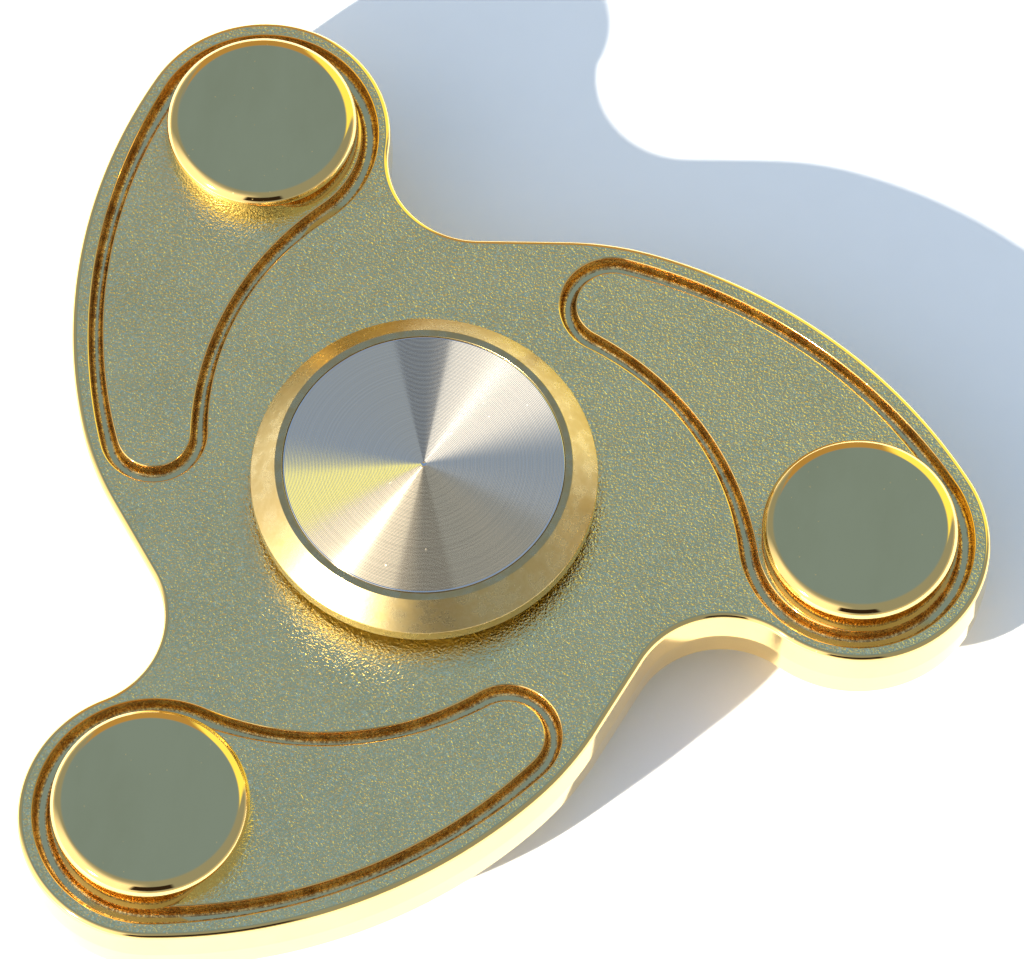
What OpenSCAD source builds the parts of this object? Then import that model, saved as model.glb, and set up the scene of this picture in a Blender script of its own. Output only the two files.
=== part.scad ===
// Three-armed fidget spinner: a plated swirl body with a round weight in each arm,
// spinning on a small ball bearing between two finger caps.
// The spin axis is Z, the lower cap's flat face rests at Z = 0 and arm 1 points along +X.

/* [Body] */
// Thickness of the body between its two faces
body_t = 5.4; // [5.2:0.1:6]
// Distance from the spin axis to the centre of each weight
arm_r = 27.75; // [26.5:0.25:29]
// Radius of the round head of each arm
head_r = 8.45; // [8.3:0.05:8.8]
// Radius of the long outer back of each arm
back_r = 34.85; // [33.25:0.2:37.05]
// Radius of the shoulder where the back turns in towards the next arm
shoulder_r = 20.55; // [19.75:0.1:21.25]
// Distance from the spin axis to the shoulder's centre
shoulder_off = 9.1; // [8.8:0.1:9.4]
// Angle from the arm to the shoulder's centre
shoulder_dir = -10; // [-12:0.5:-8]
// Radius of the hollow between two arms
waist_r = 5.85; // [5.55:0.1:6.25]
// Direction from the head's centre to the waist's centre
waist_dir = -120; // [-122:0.5:-118]

/* [Groove] */
// Depth of the comma groove in each face
groove_depth = 0.9; // [0.5:0.1:1.2]
// How far the groove's head lies nearer the spin axis than the weight
groove_head_shift = 0.15; // [0:0.05:0.2]
// Radius of the groove's outer wall round the head
groove_head_r = 7.45; // [7.3:0.05:7.7]
// Radius of the groove's outer wall round the tail
groove_tail_r = 3.4; // [3.2:0.05:3.6]
// Distance from the spin axis to the centre of the tail
tail_off = 17.75; // [17.5:0.05:18]
// Angle from the arm to the centre of the tail
tail_dir = 54.5; // [53:0.5:56]
// Radius of the groove's outer wall along the back
groove_back_r = 35.8; // [34.4:0.2:36.4]
// Radius of the groove's outer wall along the belly
groove_belly_r = 18.3; // [17.9:0.1:18.9]
// Radius of the raised island's tail inside the groove
island_tail_r = 2.4; // [2.2:0.1:2.6]
// Radius of the island along the back
island_back_r = 32.5; // [32:0.1:33]
// Radius of the island along the belly
island_belly_r = 21.1; // [20.7:0.1:21.5]

/* [Weights] */
// Diameter of each round weight
weight_d = 12.7; // [12:0.1:12.7]
// How far each weight stands proud of either face
weight_proud = 2.2; // [1.5:0.1:2.6]
// Radius of the weight's rounded edge
weight_edge_r = 1.2; // [0.5:0.1:1.4]

/* [Finger caps] */
// Diameter of each cap
cap_d = 22; // [20:0.5:24]
// Diameter of the flat lip inside the bevel
lip_d = 18.8; // [18.4:0.2:19.2]
// Diameter of the turned inlay
inlay_d = 17.8; // [16:0.2:18]
// Thickness of the turned inlay
inlay_t = 0.5; // [0.4:0.1:0.8]
// Height of the cap's flat lip above the body's face
cap_rise = 3.75; // [3.5:0.05:4.2]
// Clear gap between the cap and the body's face
cap_gap = 1.1; // [0.8:0.1:1.3]
// Diameter of the screw thread that joins the two caps
screw_d = 3; // [2.5:0.5:3.5]

/* [Bearing] */
// Bore of the bearing
bearing_bore_d = 6.35; // [6.35]
// Outside diameter of the bearing
bearing_outer_d = 12.7; // [12.7]
// Width of the bearing
bearing_w = 4.762; // [4.762]
// Diameter of each ball
ball_d = 1.5875; // [1.5875]
// Number of balls
ball_count = 10; // [8:1:10]

/* [Hidden] */
ARMS = [0, 120, 240];

// Heights, measured from the lower cap's flat face
total_h = body_t + 2 * cap_rise;
mid_z = total_h / 2;
weight_h = body_t + 2 * weight_proud;

// Bearing sizes that follow from the ball and the two rings
pitch_r = (bearing_bore_d + bearing_outer_d) / 4;
race_gap = 0.02;
raceway_r = ball_d / 2 + race_gap;
inner_land_r = 4.25;
outer_land_r = 5.25;
shield_seat_r = 5.75;
shield_seat_depth = 0.5;
shield_t = 0.2;
snap_t = 0.22;
snap_w = 0.28;
snap_gap_angle = 16;
seat_lip_r = 5.7;

// The cage is a crown: a ring whose pockets are open on one side
cage_wall = 0.3;
cage_low = -1.15;
cage_high = 0.35;
pocket_gap = 0.04;

// The cap's neck bears on the bearing's inner ring and its spigot runs into the bore
neck_r = 3.95;
spigot_gap = 0.015;
spigot_r = bearing_bore_d / 2 - spigot_gap;
spigot_parting = 0.1;
screw_gap = 0.02;
screw_l = 3.2;
screw_hole_extra = 0.4;
bevel_h = (cap_d - lip_d) / 2;
inlay_gap = 0.03;

// The island's own head is hidden under the weight
island_head_r = weight_d / 2 - 0.1;

// Chord error allowed where an outline's arc is drawn as short chords
chord_error = 0.015;
cut_past = 1;
$fn = 96;

// ---- plane geometry -------------------------------------------------------

// A point at distance r and angle a
function polar(r, a) = [r * cos(a), r * sin(a)];

// The angle of the line from p to q
function bearing_of(p, q) = atan2(q[1] - p[1], q[0] - p[0]);

// The point at distance ra from a and rb from b, on the side given by side = 1 or -1
function meet(a, ra, b, rb, side) =
    let (d = norm(b - a),
         along = (ra * ra - rb * rb + d * d) / (2 * d),
         off = sqrt(ra * ra - along * along))
    a + along * (b - a) / d + side * off * [a[1] - b[1], b[0] - a[0]] / d;

// An angle moved by whole turns to lie at most one turn past start
function after(start, a) = a < start ? after(start, a + 360) : (a >= start + 360 ? after(start, a - 360) : a);

// Points along an arc, turning left when a1 > a0, both ends included
function arc(c, r, a0, a1) =
    let (step = 2 * acos(1 - chord_error / r),
         n = max(2, ceil(abs(a1 - a0) / step)))
    [for (i = [0:n]) c + polar(r, a0 + (a1 - a0) * i / n)];

// A comma: a head and a tail circle joined by a bulging back and a hollow belly
function comma(head, rh, tail, rt, rback, rbelly) =
    let (cb = meet(head, rback - rh, tail, rback - rt, 1),
         cy = meet(head, rbelly + rh, tail, rbelly + rt, 1),
         back0 = bearing_of(cb, head),
         back1 = after(back0, bearing_of(cb, tail)),
         tail1 = after(back1, bearing_of(tail, cy)),
         belly0 = bearing_of(cy, tail),
         belly1 = after(belly0 - 360, bearing_of(cy, head)),
         head0 = bearing_of(head, cy),
         head1 = after(head0, back0))
    concat(arc(cb, rback, back0, back1), arc(tail, rt, back1, tail1),
           arc(cy, rbelly, belly0, belly1), arc(head, rh, head0, head1));

head_c = [arm_r, 0];
groove_head_c = [arm_r - groove_head_shift, 0];
tail_c = polar(tail_off, tail_dir);
shoulder_c = polar(shoulder_off, shoulder_dir);
waist_c = head_c + polar(head_r + waist_r, waist_dir);
back_c = meet(head_c, back_r - head_r, shoulder_c, back_r - shoulder_r, 1);

// The straight flank touches this arm's shoulder and the next arm's waist
next_waist_c = polar(norm(waist_c), atan2(waist_c[1], waist_c[0]) + 120);
flank_dir = bearing_of(shoulder_c, next_waist_c)
    - acos((shoulder_r + waist_r) / norm(next_waist_c - shoulder_c));

// One third of the body's outline, from the waist before the arm to its far flank
waist_a0 = flank_dir + 180 - 120;
waist_a1 = after(waist_a0 - 360, waist_dir + 180);
back_a0 = bearing_of(back_c, head_c);
back_a1 = after(back_a0, bearing_of(back_c, shoulder_c));
arm_outline = concat(
    arc(waist_c, waist_r, waist_a0, waist_a1),
    arc(head_c, head_r, waist_dir, after(waist_dir, back_a0)),
    arc(back_c, back_r, back_a0, back_a1),
    arc(shoulder_c, shoulder_r, back_a1, after(back_a1, flank_dir)));

// A point turned about the axis
function turned(p, a) = [p[0] * cos(a) - p[1] * sin(a), p[0] * sin(a) + p[1] * cos(a)];

// A list of points without those that repeat their neighbour
function distinct(pts) =
    [for (i = [0:len(pts) - 1]) if (norm(pts[i] - pts[(i + 1) % len(pts)]) > 0.001) pts[i]];

body_outline = distinct([for (a = ARMS) for (p = arm_outline) turned(p, a)]);
groove_outer = distinct(comma(groove_head_c, groove_head_r, tail_c, groove_tail_r,
                              groove_back_r, groove_belly_r));
island = distinct(comma(groove_head_c, island_head_r, tail_c, island_tail_r,
                        island_back_r, island_belly_r));

// ---- shared shapes --------------------------------------------------------

// Draws its children again, mirrored about the middle of the stack
module on_far_side() {
    translate([0, 0, total_h]) mirror([0, 0, 1]) children();
}

// A flat ring on the spin axis
module ring(r_in, r_out, z, h) {
    translate([0, 0, z]) difference() {
        cylinder(r = r_out, h = h);
        translate([0, 0, -cut_past]) cylinder(r = r_in, h = h + 2 * cut_past);
    }
}

// The moat between the groove's outer wall and the island, cut into the upper face
module groove_cut() {
    translate([0, 0, mid_z + body_t / 2 - groove_depth])
        linear_extrude(groove_depth + cut_past)
            difference() {
                polygon(groove_outer);
                polygon(island);
            }
}

// ---- body and weights -----------------------------------------------------

module body() {
    color("goldenrod") difference() {
        translate([0, 0, mid_z - body_t / 2]) linear_extrude(body_t) polygon(body_outline);
        for (a = ARMS) rotate([0, 0, a]) {
            groove_cut();
            on_far_side() groove_cut();
            translate([arm_r, 0, 0]) cylinder(d = weight_d, h = total_h);
        }
        translate([0, 0, mid_z - bearing_w / 2])
            cylinder(d = bearing_outer_d, h = bearing_w + cap_rise);
        cylinder(r = seat_lip_r, h = total_h);
    }
}

module weight(a) {
    r = weight_d / 2;
    e = weight_edge_r;
    color("gold") rotate([0, 0, a]) translate([arm_r, 0, mid_z - weight_h / 2])
        rotate_extrude() {
            square([r - e, weight_h]);
            translate([0, e]) square([r, weight_h - 2 * e]);
            intersection() {
                translate([r - e, e]) circle(r = e);
                square([r, e]);
            }
            intersection() {
                translate([r - e, weight_h - e]) circle(r = e);
                translate([0, weight_h - e]) square([r, e]);
            }
        }
}

// ---- finger caps ----------------------------------------------------------

// The turned blank of the lower cap, resting on Z = 0 with its neck pointing up
module cap_blank() {
    rim_r = cap_d / 2;
    under_z = cap_rise - cap_gap;
    neck_z = mid_z - bearing_w / 2;
    rotate_extrude() difference() {
        union() {
            polygon([[0, 0], [lip_d / 2, 0], [rim_r, bevel_h], [rim_r, under_z], [0, under_z]]);
            square([neck_r, neck_z]);
            square([spigot_r, mid_z - spigot_parting]);
        }
        square([inlay_d / 2 + inlay_gap, inlay_t]);
    }
}

module inlay() {
    color("silver") cylinder(d = inlay_d, h = inlay_t);
}

module bottom_cap() {
    color("darkgoldenrod") union() {
        cap_blank();
        // The screw grows out of the cap's web, above the inlay's seat
        translate([0, 0, inlay_t]) cylinder(d = screw_d, h = mid_z + screw_l - inlay_t);
    }
}

module top_cap() {
    color("darkgoldenrod") difference() {
        on_far_side() cap_blank();
        translate([0, 0, inlay_t])
            cylinder(r = screw_d / 2 + screw_gap, h = mid_z + screw_l + screw_hole_extra - inlay_t);
    }
}

// ---- bearing --------------------------------------------------------------

module bearing_outer_ring() {
    color("lightsteelblue") translate([0, 0, mid_z]) rotate_extrude() difference() {
        translate([outer_land_r, -bearing_w / 2])
            square([bearing_outer_d / 2 - outer_land_r, bearing_w]);
        translate([pitch_r, 0]) circle(r = raceway_r);
        for (s = [-1, 1]) translate([outer_land_r, s * bearing_w / 2]) square(
            [2 * (shield_seat_r - outer_land_r), 2 * shield_seat_depth], center = true);
    }
}

module bearing_inner_ring() {
    color("lightsteelblue") translate([0, 0, mid_z]) rotate_extrude() difference() {
        translate([bearing_bore_d / 2, -bearing_w / 2])
            square([inner_land_r - bearing_bore_d / 2, bearing_w]);
        translate([pitch_r, 0]) circle(r = raceway_r);
    }
}

module bearing_cage() {
    color("peru") difference() {
        ring(pitch_r - cage_wall, pitch_r + cage_wall, mid_z + cage_low, cage_high - cage_low);
        for (i = [0:ball_count - 1]) rotate([0, 0, 360 * i / ball_count])
            translate([pitch_r, 0, mid_z]) sphere(r = ball_d / 2 + pocket_gap);
    }
}

module bearing_ball(i) {
    color("whitesmoke") rotate([0, 0, 360 * (i - 1) / ball_count])
        translate([pitch_r, 0, mid_z]) sphere(d = ball_d);
}

module shield() {
    color("slategray")
        ring(inner_land_r + 0.12, shield_seat_r - 0.01,
             mid_z + bearing_w / 2 - shield_seat_depth, shield_t);
}

// A split wire ring that holds the shield in its seat
module snap_ring() {
    snap_z = mid_z + bearing_w / 2 - shield_seat_depth + shield_t;
    color("dimgray") translate([0, 0, snap_z]) rotate([0, 0, snap_gap_angle / 2])
        rotate_extrude(angle = 360 - snap_gap_angle)
            translate([shield_seat_r - 0.01 - snap_w, 0]) square([snap_w, snap_t]);
}

// ---- nodes ----------------------------------------------------------------

body();
weight(ARMS[0]);  // weight_1
weight(ARMS[1]);  // weight_2
weight(ARMS[2]);  // weight_3
top_cap();
on_far_side() inlay();  // top_inlay
bottom_cap();
inlay();  // bottom_inlay
bearing_outer_ring();
bearing_inner_ring();
bearing_cage();
shield();  // bearing_shield_top
on_far_side() shield();  // bearing_shield_bottom
snap_ring();  // bearing_snap_ring_top
on_far_side() snap_ring();  // bearing_snap_ring_bottom
bearing_ball(1);  // bearing_ball_01
bearing_ball(2);  // bearing_ball_02
bearing_ball(3);  // bearing_ball_03
bearing_ball(4);  // bearing_ball_04
bearing_ball(5);  // bearing_ball_05
bearing_ball(6);  // bearing_ball_06
bearing_ball(7);  // bearing_ball_07
bearing_ball(8);  // bearing_ball_08
bearing_ball(9);  // bearing_ball_09
bearing_ball(10);  // bearing_ball_10
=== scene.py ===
"""Three-armed hand spinner: finely rounded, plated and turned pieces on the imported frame.

All sizes are millimetres until a mesh is made, where they become metres.
"""

import logging  # noqa: E402
import math  # noqa: E402
from collections.abc import Iterable, Sequence  # noqa: E402
from dataclasses import dataclass, field  # noqa: E402
from enum import Enum, IntEnum  # noqa: E402
from typing import Any  # noqa: E402

import bmesh  # noqa: E402
import bpy  # noqa: E402
import numpy as np  # noqa: E402
from mathutils import Matrix, Vector  # noqa: E402
from mathutils.geometry import delaunay_2d_cdt  # noqa: E402


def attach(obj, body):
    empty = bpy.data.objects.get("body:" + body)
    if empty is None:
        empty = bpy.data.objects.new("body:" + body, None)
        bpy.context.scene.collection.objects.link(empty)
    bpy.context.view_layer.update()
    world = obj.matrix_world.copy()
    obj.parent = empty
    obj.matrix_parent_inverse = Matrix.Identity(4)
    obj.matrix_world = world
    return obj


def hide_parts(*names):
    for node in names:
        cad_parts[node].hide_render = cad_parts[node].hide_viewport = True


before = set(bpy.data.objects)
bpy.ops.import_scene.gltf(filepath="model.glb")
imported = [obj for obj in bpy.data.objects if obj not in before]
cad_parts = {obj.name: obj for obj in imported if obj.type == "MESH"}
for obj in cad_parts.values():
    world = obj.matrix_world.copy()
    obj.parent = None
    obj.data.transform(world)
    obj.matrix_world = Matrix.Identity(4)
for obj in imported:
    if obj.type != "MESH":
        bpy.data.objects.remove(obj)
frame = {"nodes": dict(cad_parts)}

log = logging.getLogger("spinner")

MM = 0.001
TURN = 2 * math.pi
WELD = 1.0e-6
# Plan corners nearer than one part of this in a millimetre are the same corner
FINENESS = 1.0e5
# The triangulation keeps what is inside its outer edges, to this tolerance in millimetres
INSIDE_ONLY = 1
SLACK = 1.0e-7
SMOOTH_BEND = 34.0

Triple = tuple[float, float, float]
Colour = Triple
Point = tuple[float, float]


# ---- node trees -----------------------------------------------------------


class Wire:
    """A number on its way through a node tree, used in plain arithmetic."""

    def __init__(self, book: "Book", socket: bpy.types.NodeSocket) -> None:
        """Holds the socket and the book that its tree belongs to."""
        self.book = book
        self.socket = socket

    def __add__(self, other: "Wire | float") -> "Wire":
        """self + other."""
        return self.book.maths("ADD", self, other)

    def __radd__(self, other: float) -> "Wire":
        """other + self."""
        return self.book.maths("ADD", other, self)

    def __sub__(self, other: "Wire | float") -> "Wire":
        """self - other."""
        return self.book.maths("SUBTRACT", self, other)

    def __rsub__(self, other: float) -> "Wire":
        """other - self."""
        return self.book.maths("SUBTRACT", other, self)

    def __mul__(self, other: "Wire | float") -> "Wire":
        """self * other."""
        return self.book.maths("MULTIPLY", self, other)

    def __truediv__(self, other: "Wire | float") -> "Wire":
        """self / other."""
        return self.book.maths("DIVIDE", self, other)

    def root(self) -> "Wire":
        """The square root."""
        return self.book.maths("SQRT", self)

    def sine(self) -> "Wire":
        """The sine of an angle in radians."""
        return self.book.maths("SINE", self)

    def whole(self) -> "Wire":
        """The whole part below the number."""
        return self.book.maths("FLOOR", self)

    def ramp(self, low: float, high: float) -> "Wire":
        """A smooth step.

        Args:
            low: the value that gives 0.
            high: the value that gives 1.

        Returns:
            The step from 0 to 1.
        """
        node = self.book.add(
            "ShaderNodeMapRange",
            {"interpolation_type": "SMOOTHSTEP"},
            {"Value": self, "From Min": low, "From Max": high, "To Min": 0.0, "To Max": 1.0},
        )
        return node.out("Result")


class Made:
    """A node that a book has added."""

    def __init__(self, book: "Book", node: bpy.types.Node) -> None:
        """Holds the node and its book."""
        self.book = book
        self.node = node

    def out(self, key: str | int = 0) -> Wire:
        """The output with that name or place."""
        return Wire(self.book, self.node.outputs[key])


class Book:
    """Adds nodes to one tree, each with its settings and sockets in one call."""

    def __init__(self, tree: bpy.types.NodeTree) -> None:
        """Starts with an empty tree."""
        self.tree = tree
        tree.nodes.clear()

    def add(
        self,
        kind: str,
        settings: dict[str, Any] | None = None,
        sockets: dict[str | int, Any] | None = None,
    ) -> Made:
        """Adds a node.

        Args:
            kind: the node's type name.
            settings: its own properties, set first.
            sockets: a value or a wire for each input, by name or place.

        Returns:
            The node.
        """
        node = self.tree.nodes.new(kind)
        for name, value in (settings or {}).items():
            setattr(node, name, value)
        for key, value in (sockets or {}).items():
            if isinstance(value, Wire):
                self.tree.links.new(value.socket, node.inputs[key])
            else:
                node.inputs[key].default_value = value
        return Made(self, node)

    def maths(self, operation: str, *terms: Wire | float) -> Wire:
        """A Math node on the given terms.

        Args:
            operation: the Math node's operation.
            terms: wires or plain numbers, in the node's order.

        Returns:
            The node's value.
        """
        return self.add("ShaderNodeMath", {"operation": operation}, dict(enumerate(terms))).out()

    def blend(self, share: Wire | float, low: Any, high: Any) -> Wire:
        """Mixes two colours.

        Args:
            share: 0 for low and 1 for high.
            low: a colour or a wire.
            high: a colour or a wire.

        Returns:
            The mixed colour.
        """
        full = [(*c, 1.0) if isinstance(c, tuple) else c for c in (low, high)]
        # A Mix node of colours has its factor at input 0, its colours at 6 and 7, its result at 2
        node = self.add("ShaderNodeMix", {"data_type": "RGBA"}, {0: share, 6: full[0], 7: full[1]})
        return node.out(2)


# ---- finishes -------------------------------------------------------------


class ShaderBook(Book):
    """A material's tree, with the patterns that the finishes share."""

    def __init__(self, name: str) -> None:
        """Makes the material."""
        self.material = bpy.data.materials.new(name)
        self.material.use_nodes = True
        super().__init__(self.material.node_tree)
        self.place = self.add("ShaderNodeTexCoord").out("Object")

    def noise(
        self,
        size: float,
        detail: float = 2.0,
        roughness: float = 0.5,
        stretch: Triple | None = None,
    ) -> Wire:
        """Soft noise over the surface.

        Args:
            size: the size of its blotches in millimetres.
            detail: how many finer layers it has.
            roughness: how strong the finer layers are.
            stretch: scale along X, Y and Z, for noise drawn out along an axis.

        Returns:
            A value about 0.5.
        """
        place = self.place
        if stretch is not None:
            place = self.add("ShaderNodeMapping", {}, {"Vector": place, "Scale": stretch}).out()
        sockets = {"Vector": place, "Scale": 1 / (size * MM), "Detail": detail, "Roughness": roughness}
        return self.add("ShaderNodeTexNoise", {}, sockets).out(0)

    def grains(self, size: float, output: str = "Distance") -> Wire:
        """Cells the size of blasting grit.

        Args:
            size: the size of a cell in millimetres.
            output: the Voronoi node's output.

        Returns:
            The distance to a cell's middle, or another output.
        """
        sockets = {"Vector": self.place, "Scale": 1 / (size * MM), "Randomness": 1.0}
        return self.add("ShaderNodeTexVoronoi", {}, sockets).out(output)

    def axis_parts(self) -> tuple[Wire, Wire]:
        """The distance from the spin axis in millimetres, and the height in millimetres."""
        parts = self.add("ShaderNodeSeparateXYZ", {}, {0: self.place})
        x, y, z = parts.out(0) / MM, parts.out(1) / MM, parts.out(2) / MM
        return (x * x + y * y).root(), z

    def relief(self, height: Wire, depth: float, under: Wire | None = None) -> Wire:
        """A bump.

        Args:
            height: the height's pattern, from 0 to 1.
            depth: the height that 1 stands for, in millimetres.
            under: the normal of a coarser relief below it.

        Returns:
            The normal.
        """
        sockets: dict[str | int, Any] = {"Height": height, "Distance": depth * MM, "Strength": 1.0}
        if under is not None:
            sockets["Normal"] = under
        return self.add("ShaderNodeBump", {}, sockets).out()

    def metal(self, colour: Wire, roughness: Wire, normal: Wire) -> bpy.types.Material:
        """Ends the tree in a metal surface.

        Args:
            colour: the base colour.
            roughness: the roughness.
            normal: the relief's normal.

        Returns:
            The finished material.
        """
        sockets = {"Base Color": colour, "Metallic": 1.0, "Roughness": roughness, "Normal": normal}
        surface = self.add("ShaderNodeBsdfPrincipled", {}, sockets)
        self.add("ShaderNodeOutputMaterial", {}, {"Surface": surface.out()})
        return self.material


@dataclass(frozen=True)
class BlastedPlating:
    """Gold plating over a face blasted with fine grit: its relief makes the grains glitter, and random cells
    are painted a paler gold as painted glints.
    """

    pale: Colour = (1.0, 0.86, 0.40)
    deep: Colour = (0.84, 0.72, 0.33)
    # Painted glint: the paler gold that random cells are painted, standing in for sparkle of light
    painted_glint: Colour = (1.0, 0.95, 0.52)
    grain: float = 0.15
    depth: float = 0.030
    roughness: float = 0.08
    spread: float = 0.09

    def make(self, name: str) -> bpy.types.Material:
        """Makes the material."""
        book = ShaderBook(name)
        grit = book.noise(self.grain, 2.0, 0.6)
        pits = book.grains(self.grain * 1.3)
        blotch = book.noise(3.5, 3.0)
        # Painted glints: random grit cells are painted the paler glint colour, as painted sparkle
        glint_cells = book.grains(self.grain * 0.9, "Color").ramp(0.62, 0.86)
        normal = book.relief(grit * 1.4 + pits * 0.6, self.depth)
        colour = book.blend((grit * 0.7 + blotch * 0.3).ramp(0.30, 0.62), self.deep, self.pale)
        return book.metal(book.blend(glint_cells, colour, self.painted_glint), self.roughness + grit * self.spread, normal)


@dataclass(frozen=True)
class MirrorPlating:
    """Gold plating over a polished surface, with the faint swell that polishing leaves."""

    colour: Colour = (1.0, 0.735, 0.30)
    smear: Colour = (0.93, 0.68, 0.27)
    roughness: float = 0.045
    swell_depth: float = 0.0016
    wipe_rise: float = 0.03
    speck_rise: float = 0.25

    def make(self, name: str) -> bpy.types.Material:
        """Makes the material."""
        book = ShaderBook(name)
        swell = book.noise(1.6, 2.0)
        wipe = book.noise(5.0, 4.0, 0.6, (1.0, 0.4, 1.0))
        specks = 1.0 - book.grains(0.9).ramp(0.03, 0.10)
        colour = book.blend(wipe.ramp(0.35, 0.75), self.colour, self.smear)
        roughness = self.roughness + wipe * self.wipe_rise + specks * self.speck_rise
        return book.metal(colour, roughness, book.relief(swell, self.swell_depth))


@dataclass(frozen=True)
class GroovePlating:
    """Gold plating over the cast walls of the grooves: gritty, and darkened towards a deep brown as painted
    shade of the recess.
    """

    pale: Colour = (1.0, 0.72, 0.30)
    # Painted shade: the dark colour that the recessed groove walls are mottled towards
    deep: Colour = (0.46, 0.26, 0.09)
    grain: float = 0.16
    depth: float = 0.035
    roughness: float = 0.10
    spread: float = 0.16

    def make(self, name: str) -> bpy.types.Material:
        """Makes the material."""
        book = ShaderBook(name)
        grit = book.noise(self.grain, 2.0, 0.65)
        painted_shade_mottle = book.noise(1.4, 4.0, 0.65)
        # Painted shade: about half of each wall is darkened towards the deep colour, mottled at random
        colour = book.blend((grit * 0.6 + painted_shade_mottle * 0.4).ramp(0.40, 0.60), self.deep, self.pale)
        return book.metal(colour, self.roughness + grit * self.spread, book.relief(grit, self.depth))


@dataclass(frozen=True)
class TurnedSteel:
    """Steel faced on a lathe, with the faint bands of the tool from ring to ring."""

    colour: Colour = (0.93, 0.87, 0.76)
    shade: Colour = (0.84, 0.78, 0.68)
    roughness: float = 0.075
    bands_per_metre: float = 9000.0
    band_depth: float = 0.0006
    band_rise: float = 0.05
    dust_rise: float = 0.3

    def make(self, name: str) -> bpy.types.Material:
        """Makes the material."""
        book = ShaderBook(name)
        radius, _ = book.axis_parts()
        bands = book.add("ShaderNodeCombineXYZ", {}, {0: radius * MM}).out()
        sockets = {"Vector": bands, "Scale": self.bands_per_metre, "Detail": 3.0}
        tool = book.add("ShaderNodeTexNoise", {}, sockets).out(0)
        dust = 1.0 - book.grains(1.7).ramp(0.018, 0.05)
        colour = book.blend(tool.ramp(0.3, 0.7), self.colour, self.shade)
        roughness = self.roughness + tool * self.band_rise + dust * self.dust_rise
        return book.metal(colour, roughness, book.relief(tool, self.band_depth))


@dataclass(frozen=True)
class WorkedMetal:
    """A metal with the blotches and the skin of handling, and with lathe lines where it has a pitch.

    blotch and skin are each a noise's size, detail and roughness.
    """

    colour: Colour
    shade: Colour
    roughness: float
    pitch: float = 0.0
    line_depth: float = 0.0008
    lean: float = 1.0
    blotch: Triple = (0.8, 3.0, 0.6)
    edge: Point = (0.3, 0.7)
    spread: float = 0.08
    skin: Triple = (0.12, 2.0, 0.5)
    skin_depth: float = 0.0012

    def make(self, name: str) -> bpy.types.Material:
        """Makes the material."""
        book = ShaderBook(name)
        blotch = book.noise(*self.blotch)
        normal = book.relief(book.noise(*self.skin), self.skin_depth)
        if self.pitch:
            radius, height = book.axis_parts()
            lines = ((radius + height * self.lean) * (TURN / self.pitch)).sine() * 0.5 + 0.5
            normal = book.relief(lines, self.line_depth, normal)
        colour = book.blend(blotch.ramp(*self.edge), self.colour, self.shade)
        return book.metal(colour, self.roughness + blotch * self.spread, normal)


SATIN_BRASS = WorkedMetal(
    (0.65, 0.52, 0.26),
    (0.56, 0.42, 0.18),
    0.20,
    pitch=0.11,
    line_depth=0.0011,
    lean=-1.0,
    blotch=(1.1, 4.0, 0.65),
    edge=(0.36, 0.66),
    spread=0.16,
    skin=(0.18, 2.0, 0.6),
    skin_depth=0.0035,
)


class Finish(Enum):
    """The finishes of this object, each with the name of its material."""

    BLASTED = ("blasted_plating", BlastedPlating())
    POLISHED = ("polished_plating", MirrorPlating())
    WEIGHT = ("polished_weight", MirrorPlating(roughness=0.035))
    GROOVED = ("grooved_plating", GroovePlating())
    CAP = ("satin_cap", SATIN_BRASS)
    INLAY = ("turned_inlay", TurnedSteel())
    RINGS = ("ground_ring_steel", WorkedMetal((0.62, 0.63, 0.65), (0.55, 0.56, 0.58), 0.22, 0.09))
    CAGE = ("cage_brass", WorkedMetal((0.82, 0.60, 0.30), (0.70, 0.50, 0.24), 0.34))
    SHIELD = ("pressed_shield_steel", WorkedMetal((0.52, 0.53, 0.55), (0.44, 0.45, 0.47), 0.30, 0.09))
    WIRE = ("snap_wire_steel", WorkedMetal((0.40, 0.41, 0.43), (0.33, 0.34, 0.36), 0.32))
    BALL = ("lapped_ball_steel", WorkedMetal((0.80, 0.81, 0.83), (0.76, 0.77, 0.80), 0.05))

    def material(self) -> bpy.types.Material:
        """The finish's material, made the first time that it is asked for."""
        name, recipe = self.value
        return bpy.data.materials.get(name) or recipe.make(name)


# ---- plan geometry --------------------------------------------------------


def polar(radius: float, angle: float) -> np.ndarray:
    """The point at that radius and that angle in degrees."""
    return radius * np.array([math.cos(math.radians(angle)), math.sin(math.radians(angle))])


def heading(start: np.ndarray, end: np.ndarray) -> float:
    """The angle in degrees of the line from start to end."""
    return math.degrees(math.atan2(end[1] - start[1], end[0] - start[0]))


def meet(a: np.ndarray, ra: float, b: np.ndarray, rb: float) -> np.ndarray:
    """The point left of the line from b to a that is ra from a and rb from b."""
    gap = float(np.linalg.norm(b - a))
    along = (ra * ra - rb * rb + gap * gap) / (2 * gap)
    off = math.sqrt(max(ra * ra - along * along, 0.0))
    return a + along * (b - a) / gap + off * np.array([a[1] - b[1], b[0] - a[0]]) / gap


def after(start: float, angle: float) -> float:
    """The angle moved by whole turns to at most one turn past start."""
    return start + (angle - start) % 360.0


def spun(points: np.ndarray, angle: float) -> np.ndarray:
    """Plan points turned about the spin axis by an angle in degrees."""
    c, s = math.cos(math.radians(angle)), math.sin(math.radians(angle))
    return points @ np.array([[c, s], [-s, c]])


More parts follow.
